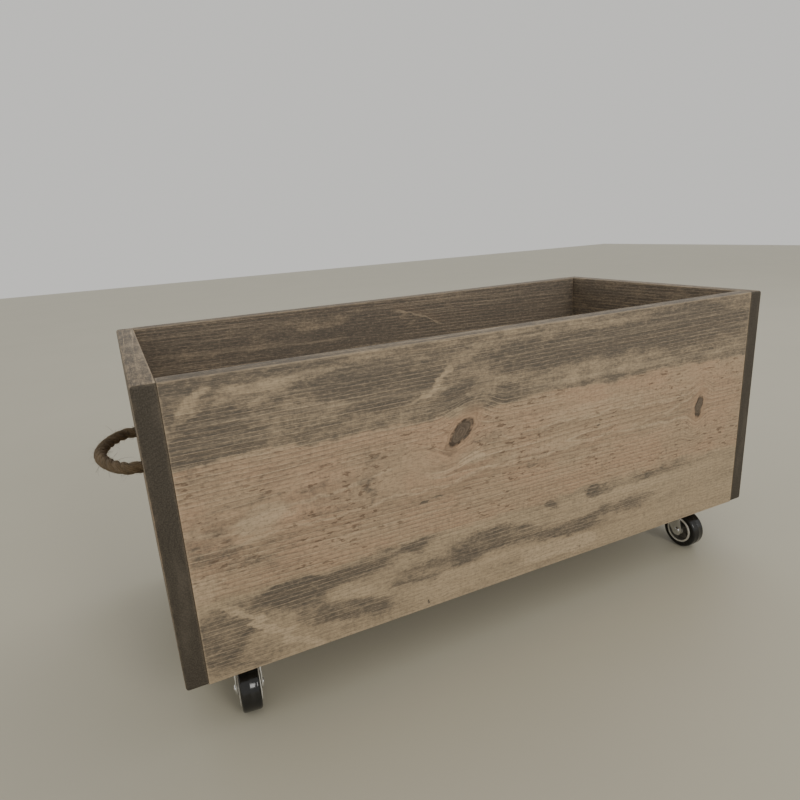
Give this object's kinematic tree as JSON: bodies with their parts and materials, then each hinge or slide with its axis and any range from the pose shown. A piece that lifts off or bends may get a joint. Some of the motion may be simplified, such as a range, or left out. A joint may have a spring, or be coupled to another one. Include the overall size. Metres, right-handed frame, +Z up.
{
  "type": "wooden toy box",
  "caption": "Open-topped box of wide stained boards that stands on swivel casters, with a twisted rope handle at each end, for storing and rolling toys.",
  "frame": {"origin": "on the floor, under the middle of the box, where the wheels stand", "axes": "+X along the box's length, -Y towards the front board, +Z up"},
  "size_m": [0.8374, 0.35, 0.355],
  "materials": {
    "long_boards": "grey-brown wax stain on planed pine, matt, with paler streaks",
    "end_boards": "darker grey-brown stain, matt, end grain facing the front",
    "bottom_panel": "stained board, matt",
    "rope": "three-strand jute with loose fibres",
    "caster_steel": "bright zinc plating",
    "axle_steel": "zinc plated",
    "screws": "zinc plated",
    "hub": "off-white moulded plastic",
    "tyre": "glossy black"
  },
  "bodies": {
    "box": {"front_board": "long_boards", "back_board": "long_boards", "left_end_board": "end_boards", "right_end_board": "end_boards", "bottom_panel": "bottom_panel", "left_front_knot": "rope", "left_back_knot": "rope", "right_front_knot": "rope", "right_back_knot": "rope", "front_left_top_plate": "caster_steel", "front_left_ball_ring": "caster_steel", "front_left_kingpin": "axle_steel", "front_left_plate_screw_1": "screws", "front_left_plate_screw_2": "screws", "front_left_plate_screw_3": "screws", "front_left_plate_screw_4": "screws", "front_right_top_plate": "caster_steel", "front_right_ball_ring": "caster_steel", "front_right_kingpin": "axle_steel", "front_right_plate_screw_1": "screws", "front_right_plate_screw_2": "screws", "front_right_plate_screw_3": "screws", "front_right_plate_screw_4": "screws", "back_left_top_plate": "caster_steel", "back_left_ball_ring": "caster_steel", "back_left_kingpin": "axle_steel", "back_left_plate_screw_1": "screws", "back_left_plate_screw_2": "screws", "back_left_plate_screw_3": "screws", "back_left_plate_screw_4": "screws", "back_right_top_plate": "caster_steel", "back_right_ball_ring": "caster_steel", "back_right_kingpin": "axle_steel", "back_right_plate_screw_1": "screws", "back_right_plate_screw_2": "screws", "back_right_plate_screw_3": "screws", "back_right_plate_screw_4": "screws"},
    "left_handle": {"left_rope_loop": "rope"},
    "right_handle": {"right_rope_loop": "rope"},
    "front_left_swivel": {"front_left_fork": "caster_steel", "front_left_axle_rivet": "axle_steel"},
    "front_left_wheel": {"front_left_hub": "hub", "front_left_tyre": "tyre"},
    "front_right_swivel": {"front_right_fork": "caster_steel", "front_right_axle_rivet": "axle_steel"},
    "front_right_wheel": {"front_right_hub": "hub", "front_right_tyre": "tyre"},
    "back_left_swivel": {"back_left_fork": "caster_steel", "back_left_axle_rivet": "axle_steel"},
    "back_left_wheel": {"back_left_hub": "hub", "back_left_tyre": "tyre"},
    "back_right_swivel": {"back_right_fork": "caster_steel", "back_right_axle_rivet": "axle_steel"},
    "back_right_wheel": {"back_right_hub": "hub", "back_right_tyre": "tyre"}
  },
  "joints": [
    {"name": "left_handle_swing", "type": "hinge", "parent": "box", "child": "left_handle", "pos_m": [-0.383, 0, 0.249], "axis": [0, 1, 0], "range_deg": [-85, 85], "stiffness_Nm_per_rad": 0.15},
    {"name": "right_handle_swing", "type": "hinge", "parent": "box", "child": "right_handle", "pos_m": [0.383, 0, 0.249], "axis": [0, -1, 0], "range_deg": [-85, 85], "stiffness_Nm_per_rad": 0.15},
    {"name": "front_left_swivel_turn", "type": "hinge", "parent": "box", "child": "front_left_swivel", "pos_m": [-0.314, -0.125, 0.06], "axis": [0, 0, 1], "continuous": true},
    {"name": "front_left_wheel_spin", "type": "hinge", "parent": "front_left_swivel", "child": "front_left_wheel", "pos_m": [-0.31599, -0.1439, 0.025], "axis": [0.9945, -0.1045, 0], "continuous": true},
    {"name": "front_right_swivel_turn", "type": "hinge", "parent": "box", "child": "front_right_swivel", "pos_m": [0.303, -0.125, 0.06], "axis": [0, 0, 1], "continuous": true},
    {"name": "front_right_wheel_spin", "type": "hinge", "parent": "front_right_swivel", "child": "front_right_wheel", "pos_m": [0.30366, -0.14399, 0.025], "axis": [0.9994, 0.0349, 0], "continuous": true},
    {"name": "back_left_swivel_turn", "type": "hinge", "parent": "box", "child": "back_left_swivel", "pos_m": [-0.314, 0.125, 0.06], "axis": [0, 0, 1], "continuous": true},
    {"name": "back_left_wheel_spin", "type": "hinge", "parent": "back_left_swivel", "child": "back_left_wheel", "pos_m": [-0.31267, 0.10605, 0.025], "axis": [0.9976, 0.0698, 0], "continuous": true},
    {"name": "back_right_swivel_turn", "type": "hinge", "parent": "box", "child": "back_right_swivel", "pos_m": [0.303, 0.125, 0.06], "axis": [0, 0, 1], "continuous": true},
    {"name": "back_right_wheel_spin", "type": "hinge", "parent": "back_right_swivel", "child": "back_right_wheel", "pos_m": [0.30201, 0.10603, 0.025], "axis": [0.9986, -0.0523, 0], "continuous": true}
  ]
}
